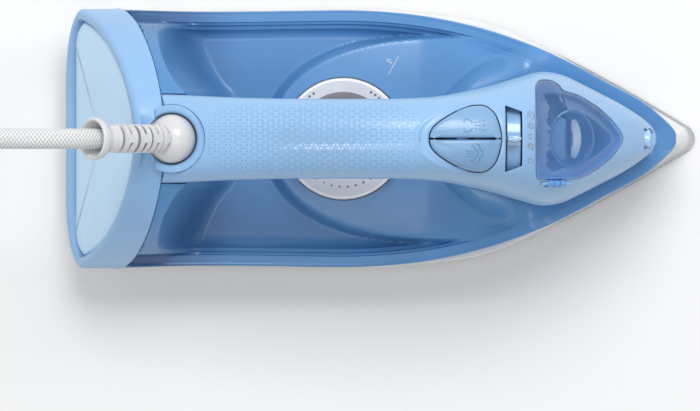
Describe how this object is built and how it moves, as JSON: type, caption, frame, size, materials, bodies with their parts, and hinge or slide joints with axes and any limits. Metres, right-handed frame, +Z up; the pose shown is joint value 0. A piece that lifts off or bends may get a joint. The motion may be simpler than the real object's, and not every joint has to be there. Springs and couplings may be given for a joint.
{
  "type": "steam iron",
  "caption": "Steam iron on its soleplate: closed grip over a clear tank, temperature dial, two push buttons, steam lever, filling door and a lead on a ball swivel.",
  "frame": {"origin": "on the surface the iron stands on, under the middle of the iron's own bounding box (the lead left out)", "axes": "+X towards the pointed front, +Y to the left seen from behind the heel, +Z up"},
  "size_m": [0.5719, 0.126, 0.165],
  "materials": {
    "soleplate": "brushed stainless steel",
    "heater_steel": "heat-tinted steel tube",
    "steel": "bright steel",
    "spring_steel": "spring wire",
    "cast_aluminium": "raw casting",
    "brass": "plain",
    "pin_nickel": "nickel plated",
    "skirt_white": "fine satin",
    "white_plastic": "satin",
    "inner_white": "moulded, unpainted",
    "pale_blue": "satin, embossed on the grip",
    "heel_blue": "fine satin",
    "tank_blue": "clear blue, glossy",
    "door_blue": "clear blue, glossy",
    "button_blue": "satin with embossed symbols",
    "dial_white": "satin, ribbed edge",
    "dial_grey": "satin",
    "silicone": "silicone",
    "braid": "white braided textile",
    "plug_white": "moulded",
    "wire_live": "insulation",
    "wire_neutral": "insulation",
    "wire_earth": "insulation"
  },
  "bodies": {
    "iron": {"soleplate": "soleplate", "heating_base": "cast_aluminium", "heating_element": "heater_steel", "chamber_cover": "steel", "thermal_fuse": "inner_white", "thermostat": "inner_white", "heat_shield": "skirt_white", "sole_screw_1": "steel", "sole_screw_2": "steel", "sole_screw_3": "steel", "tank_shell": "tank_blue", "tank_bottom": "tank_blue", "spindle_sleeve": "inner_white", "heel_cover": "pale_blue", "heel_panel": "heel_blue", "heel_screw": "steel", "terminal_block": "inner_white", "cord_clamp": "inner_white", "live_wire": "wire_live", "neutral_wire": "wire_neutral", "earth_wire": "wire_earth", "socket_cup": "inner_white", "handle_top": "pale_blue", "handle_bottom": "pale_blue", "spray_pump": "inner_white", "boost_pump": "inner_white", "spray_spring": "spring_steel", "boost_spring": "spring_steel", "lever_pin": "steel", "control_carrier": "inner_white", "dosing_valve": "brass", "door_pin": "steel", "door_seal": "silicone", "filler_funnel": "tank_blue", "spray_nozzle": "white_plastic", "spray_hose": "silicone", "boost_hose": "silicone", "suction_hose": "silicone"},
    "dial": {"temperature_dial": "dial_white", "dial_cap": "dial_grey", "dial_spindle": "steel"},
    "spray": {"spray_button": "button_blue", "spray_plunger": "inner_white", "spray_piston": "silicone"},
    "boost": {"boost_button": "button_blue", "boost_plunger": "inner_white", "boost_piston": "silicone"},
    "lever": {"steam_lever": "pale_blue"},
    "needle": {"dosing_needle": "inner_white"},
    "door": {"filler_door": "door_blue"},
    "lead": {"mains_cord": "braid", "cord_coil": "braid", "cord_tail": "braid", "cord_tie": "white_plastic", "plug_body": "plug_white", "plug_pin_left": "pin_nickel", "plug_pin_right": "pin_nickel"},
    "guard": {"cord_guard": "white_plastic"}
  },
  "joints": [
    {"name": "dial_turn", "type": "hinge", "parent": "iron", "child": "dial", "pos_m": [-0.0189, 0, 0.057], "axis": [0, 0, 1], "range_deg": [-140, 140]},
    {"name": "spray_press", "type": "slide", "parent": "iron", "child": "spray", "axis": [0, 0, -1], "range_m": [0, 0.004], "stiffness_N_per_m": 350, "springref_m": -0.003, "deforming": ["spray_spring"]},
    {"name": "boost_press", "type": "slide", "parent": "iron", "child": "boost", "axis": [0, 0, -1], "range_m": [0, 0.004], "stiffness_N_per_m": 350, "springref_m": -0.003, "deforming": ["boost_spring"]},
    {"name": "lever_turn", "type": "hinge", "parent": "iron", "child": "lever", "pos_m": [0.0575, 0, 0.114], "axis": [1, 0, 0], "range_deg": [-22, 22]},
    {"name": "needle_lift", "type": "slide", "parent": "iron", "child": "needle", "axis": [0, 0, 1], "range_m": [-0.0015, 0.0015]},
    {"name": "door_open", "type": "hinge", "parent": "iron", "child": "door", "pos_m": [0.07735, -0.0202, 0.11797], "axis": [0.7966, 0, -0.6045], "range_deg": [0, 100]},
    {"name": "cord_turn", "type": "hinge", "parent": "iron", "child": "lead", "pos_m": [-0.0966, 0, 0.118], "axis": [0, 0, 1], "range_deg": [-60, 60]},
    {"name": "guard_tilt", "type": "hinge", "parent": "lead", "child": "guard", "pos_m": [-0.0966, 0, 0.118], "axis": [0, 1, 0], "range_deg": [-15, 25], "deforming": ["mains_cord"]}
  ],
  "couplings": [
    {"joint": "needle_lift", "follows": "lever_turn", "m_per_rad": 0.0039}
  ]
}
